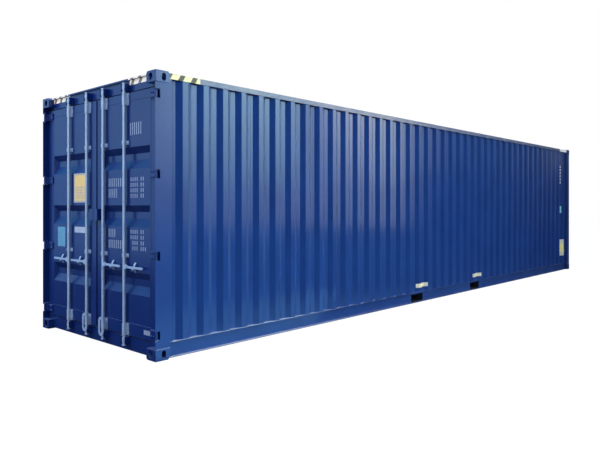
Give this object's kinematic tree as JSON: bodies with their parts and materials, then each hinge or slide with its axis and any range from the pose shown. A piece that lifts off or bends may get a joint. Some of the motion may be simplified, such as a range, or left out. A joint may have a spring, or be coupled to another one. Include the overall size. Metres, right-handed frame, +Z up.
{
  "type": "shipping container",
  "caption": "Closed steel freight container with corrugated walls and roof, plywood floor, corner castings, fork pockets, gooseneck tunnel, and double doors with lock bars.",
  "frame": {"origin": "centre of the footprint on the ground", "axes": "+X along the length to the closed end, doors at -X; +Y across to the left hand side of a person facing the doors; +Z up"},
  "size_m": [12.192, 2.438, 2.896],
  "materials": {
    "container_paint": "gloss coating",
    "galvanised_steel": "hot dip galvanised",
    "door_seal": "matt",
    "floor_wood": "oiled plywood"
  },
  "bodies": {
    "frame": {"door_bottom_castings": "container_paint", "door_top_castings": "container_paint", "front_bottom_castings": "container_paint", "front_top_castings": "container_paint", "right_door_post": "container_paint", "right_front_post": "container_paint", "right_top_side_rail": "container_paint", "right_bottom_side_rail": "container_paint", "right_side_wall": "container_paint", "left_door_post": "container_paint", "left_front_post": "container_paint", "left_top_side_rail": "container_paint", "left_bottom_side_rail": "container_paint", "left_side_wall": "container_paint", "hinge_lugs": "container_paint", "door_header": "container_paint", "door_sill": "container_paint", "front_top_rail": "container_paint", "front_bottom_rail": "container_paint", "front_wall": "container_paint", "roof": "container_paint", "floor_boards": "floor_wood", "cross_members": "container_paint", "fork_pockets": "container_paint", "gooseneck_tunnel": "container_paint", "header_keepers": "container_paint", "sill_keepers": "container_paint", "roof_plates": "container_paint"},
    "right_door": {"right_door_frame": "container_paint", "right_door_panel": "container_paint", "right_door_seal": "door_seal", "right_door_hinge_blades": "container_paint", "right_door_bar_guides": "galvanised_steel", "right_door_fittings": "galvanised_steel", "right_door_lock_box": "container_paint"},
    "right_inner_bar": {"right_inner_lock_bar": "galvanised_steel"},
    "right_inner_handle": {"right_inner_handle": "galvanised_steel"},
    "right_outer_bar": {"right_outer_lock_bar": "galvanised_steel"},
    "right_outer_handle": {"right_outer_handle": "galvanised_steel"},
    "left_door": {"left_door_frame": "container_paint", "left_door_panel": "container_paint", "left_door_seal": "door_seal", "left_door_hinge_blades": "container_paint", "left_door_bar_guides": "galvanised_steel", "left_door_fittings": "galvanised_steel", "left_door_lock_box": "container_paint"},
    "left_inner_bar": {"left_inner_lock_bar": "galvanised_steel"},
    "left_inner_handle": {"left_inner_handle": "galvanised_steel"},
    "left_outer_bar": {"left_outer_lock_bar": "galvanised_steel"},
    "left_outer_handle": {"left_outer_handle": "galvanised_steel"}
  },
  "joints": [
    {"name": "right_door_hinge", "type": "hinge", "parent": "frame", "child": "right_door", "pos_m": [-6.076, -1.193, 1.457], "axis": [0, 0, 1], "range_deg": [0, 265]},
    {"name": "right_inner_bar_turn", "type": "hinge", "parent": "right_door", "child": "right_inner_bar", "pos_m": [-6.063, -0.179, 1.457], "axis": [0, 0, 1], "range_deg": [-110, 0]},
    {"name": "right_inner_handle_lift", "type": "hinge", "parent": "right_inner_bar", "child": "right_inner_handle", "pos_m": [-6.07, -0.227, 0.9], "axis": [-1, 0, 0], "range_deg": [0, 25]},
    {"name": "right_outer_bar_turn", "type": "hinge", "parent": "right_door", "child": "right_outer_bar", "pos_m": [-6.063, -0.604, 1.457], "axis": [0, 0, 1], "range_deg": [-110, 0]},
    {"name": "right_outer_handle_lift", "type": "hinge", "parent": "right_outer_bar", "child": "right_outer_handle", "pos_m": [-6.07, -0.652, 0.9], "axis": [-1, 0, 0], "range_deg": [0, 25]},
    {"name": "left_door_hinge", "type": "hinge", "parent": "frame", "child": "left_door", "pos_m": [-6.076, 1.193, 1.457], "axis": [0, 0, -1], "range_deg": [0, 265]},
    {"name": "left_inner_bar_turn", "type": "hinge", "parent": "left_door", "child": "left_inner_bar", "pos_m": [-6.063, 0.179, 1.457], "axis": [0, 0, -1], "range_deg": [-110, 0]},
    {"name": "left_inner_handle_lift", "type": "hinge", "parent": "left_inner_bar", "child": "left_inner_handle", "pos_m": [-6.07, 0.227, 0.9], "axis": [1, 0, 0], "range_deg": [0, 25]},
    {"name": "left_outer_bar_turn", "type": "hinge", "parent": "left_door", "child": "left_outer_bar", "pos_m": [-6.063, 0.604, 1.457], "axis": [0, 0, -1], "range_deg": [-110, 0]},
    {"name": "left_outer_handle_lift", "type": "hinge", "parent": "left_outer_bar", "child": "left_outer_handle", "pos_m": [-6.07, 0.652, 0.9], "axis": [1, 0, 0], "range_deg": [0, 25]}
  ]
}
